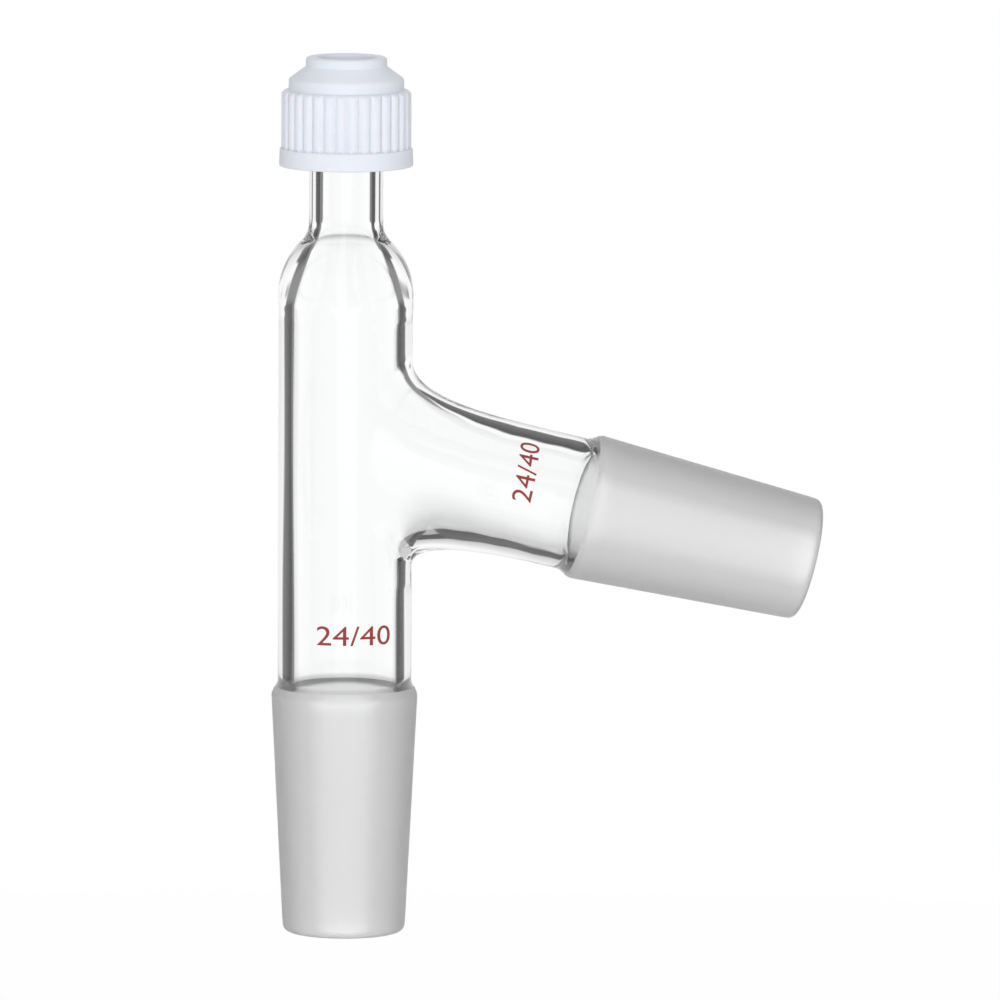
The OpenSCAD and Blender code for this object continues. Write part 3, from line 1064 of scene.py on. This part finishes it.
def seen_level(r, g, way):
    """How bright the surroundings are for a ray that goes the given way.

    They are white for the camera, for gloss and through glass, and plain for other rays. A ray
    that a wall of glass has thrown back on itself meets black flags, as in a studio, with a white
    panel between them behind, before and at each side. Returns the level, and 1 for rays that
    see the white."""
    path = r.node("ShaderNodeLightPath").outputs
    camera, gloss, through = (Field(r, path[k]) for k in
                              ("Is Camera Ray", "Is Glossy Ray", "Is Transmission Ray"))
    seen = camera.most(gloss).most(through)
    one_wall = 1.0 - Field(r, path["Transmission Depth"]).ease(*ONE_WALL)
    turns = Field(r, path["Glossy Depth"])
    turned = turns.least(1.0) * through * one_wall
    a = g.azimuth
    across = r.along(way, (math.cos(a), math.sin(a), 0.0))
    side = abs(across)
    ahead = abs(r.along(way, (-math.sin(a), math.cos(a), 0.0)))
    rise = r.along(way, (0.0, 0.0, 1.0))
    lean = side.least(ahead) / side.most(ahead)
    wider = WIDER_RISING * rise.ease(*WIDER_RISE) + WIDER_ASIDE * across.ease(*WIDER_RIGHT)
    beside = (lean - wider).ease(g.panel_half - PANEL_BLUR, g.panel_half + PANEL_BLUR)
    gap = across.ease(*GAP_LEFT) * (1.0 - across.ease(*GAP_RIGHT))
    over = (rise + CORNER_LEAN * side).ease(*CORNER_SUM) * rise.ease(*CORNER_RISE)
    above = (rise - PANEL_TOP_LEAN * side).ease(
        g.panel_top - PANEL_END_BLUR, g.panel_top + PANEL_END_BLUR)
    above = above * (1.0 - gap.most(over))
    under_panel = 1.0 - rise.ease(g.panel_foot - PANEL_END_BLUR, g.panel_foot + PANEL_END_BLUR)
    below = rise.ease(*FLAG_FOOT) * under_panel
    below = below * (1.0 - side.ease(*FLAG_SIDE))
    off_panel = beside.most(above).most(below)
    flag = beside * (g.flank * rise.ease(*PALE_RISE) + g.flag_edge * (1.0 - lean)) + g.flag
    flag = flag.most(g.flank * (side / ahead.most(0.01)).ease(*PALE_ASIDE))
    panel = (g.panel_level + g.panel_slope * rise).least(1.0).most(PANEL_DARKEST)
    dark = panel + (flag - panel) * off_panel
    dark = dark + (g.tangle - dark) * turns.ease(*TANGLED)
    e = g.elevation
    lens = (-math.sin(a) * math.cos(e), math.cos(a) * math.cos(e), -math.sin(e))
    plain = 1.0 - through * g.falloff * (1.0 - abs(r.along(way, lens)).ease(*STRAIGHT_ON))
    plain = plain * (1.0 - through * g.dusk * (1.0 - rise.ease(*DUSK)))
    return plain + turned * (dark - plain), seen


def set_surround(scene, g):
    """A world that is white where it is seen, and plain where it only lights."""
    world = bpy.data.worlds.new("surround")
    scene.world = world
    r = Recipe(world)
    way = r.node("ShaderNodeTexCoord").outputs["Generated"]
    shown, seen = seen_level(r, g, way)
    rise = r.along(way, (0.0, 0.0, 1.0)).most(0.0)
    level = shown * seen + (1.0 - seen) * (rise * g.overhead + g.surround)
    r.surface(r.node("ShaderNodeBackground", None, Color=(1.0, 1.0, 1.0, 1.0), Strength=level))


def set_floor(g):
    """A round pale floor, white where it is seen."""
    material = bpy.data.materials.new("floor")
    r = Recipe(material)
    place = r.node("ShaderNodeTexCoord").outputs["Object"]
    fall = r.node("ShaderNodeVectorMath", {"operation": "SUBTRACT"}, place, FLOOR_SEEN_FROM)
    way = r.node("ShaderNodeVectorMath", {"operation": "NORMALIZE"}, fall.outputs[0]).outputs[0]
    shown, seen = seen_level(r, g, way)
    matt = r.principled(Base_Color=(0.8, 0.8, 0.8, 1.0), Roughness=0.9)
    glow = r.node("ShaderNodeEmission", None, Strength=shown)
    share_of_glow = seen * SEEN_GLOW + FLOOR_GLOW
    r.surface(r.node("ShaderNodeMixShader", None, share_of_glow, matt.outputs[0], glow.outputs[0]))
    mesh = bpy.data.meshes.new("floor")
    work = bmesh.new()
    bmesh.ops.create_circle(work, cap_ends=True, segments=COLUMNS, radius=g.floor_radius)
    bmesh.ops.translate(work, verts=work.verts, vec=(0.0, 0.0, -g.floor_depth))
    work.to_mesh(mesh)
    work.free()
    mesh.materials.append(material)
    floor = bpy.data.objects.new("floor", mesh)
    bpy.context.scene.collection.objects.link(floor)


def set_lamp(name, place, watts):
    """A square lamp that faces the middle of the object, and shows in no gloss or glass."""
    light = bpy.data.lights.new(name, "AREA")
    light.size, light.energy = LAMP_SIZE, watts
    lamp = bpy.data.objects.new(name, light)
    lamp.location = place
    lamp.rotation_euler = (Vector(MIDDLE) - lamp.location).to_track_quat("-Z", "Y").to_euler()
    lamp.visible_transmission = False
    lamp.visible_glossy = False
    bpy.context.scene.collection.objects.link(lamp)


def set_camera(scene, g):
    """A long lens, aimed beside the stem and turned by a fraction of a degree."""
    a, e = g.azimuth, g.elevation
    back = Vector((math.sin(a) * math.cos(e), -math.cos(a) * math.cos(e), math.sin(e)))
    side = Vector((math.cos(a), math.sin(a), 0.0))
    data = bpy.data.cameras.new("camera")
    data.sensor_width = 36.0
    data.lens = data.sensor_width * g.distance / g.frame_width
    data.clip_start, data.clip_end = 0.1, 100.0
    camera = bpy.data.objects.new("camera", data)
    aim = side * g.aim_side + Vector((0.0, 0.0, g.aim_height))
    camera.location = aim + back * g.distance
    camera.rotation_mode = "QUATERNION"
    facing = (-back).to_track_quat("-Z", "Y")
    camera.rotation_quaternion = facing @ Quaternion((0.0, 0.0, 1.0), g.roll)
    scene.collection.objects.link(camera)
    scene.camera = camera


class STILLHEAD_PT_panel(Panel):
    """Lists the steps that build the head"""

    bl_idname = "STILLHEAD_PT_panel"
    bl_label = "Distillation head"
    bl_space_type = "VIEW_3D"
    bl_region_type = "UI"
    bl_category = "Still head"

    def draw(self, context):
        for step in STEPS:
            self.layout.operator(step.bl_idname)
        for group in GROUPS:
            column = self.layout.column(heading=group)
            settings = getattr(context.scene, group)
            for key in settings.__annotations__:
                column.prop(settings, key)


STEPS = (STILLHEAD_OT_glass, STILLHEAD_OT_numerals, STILLHEAD_OT_cap, STILLHEAD_OT_ring,
         STILLHEAD_OT_stage)
GROUPS = {
    "head_glass": HeadGlassSizes,
    "head_cap": HeadCapSizes,
    "head_marks": HeadMarkSizes,
    "head_looks": HeadLooks,
    "head_stage": HeadStageSettings,
}


def register():
    """Registers the classes and hangs the settings on the scene."""
    for kind in (*GROUPS.values(), *STEPS, STILLHEAD_PT_panel):
        bpy.utils.register_class(kind)
    for name, kind in GROUPS.items():
        setattr(bpy.types.Scene, name, PointerProperty(type=kind))


def unregister():
    """Takes both away again."""
    for name in GROUPS:
        delattr(bpy.types.Scene, name)
    for kind in reversed((*GROUPS.values(), *STEPS, STILLHEAD_PT_panel)):
        bpy.utils.unregister_class(kind)


def main():
    """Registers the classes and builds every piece."""
    register()
    bpy.ops.stillhead.glass()
    bpy.ops.stillhead.numerals()
    bpy.ops.stillhead.cap()
    bpy.ops.stillhead.ring()
    bpy.ops.stillhead.stage()


if __name__ == "__main__":
    main()
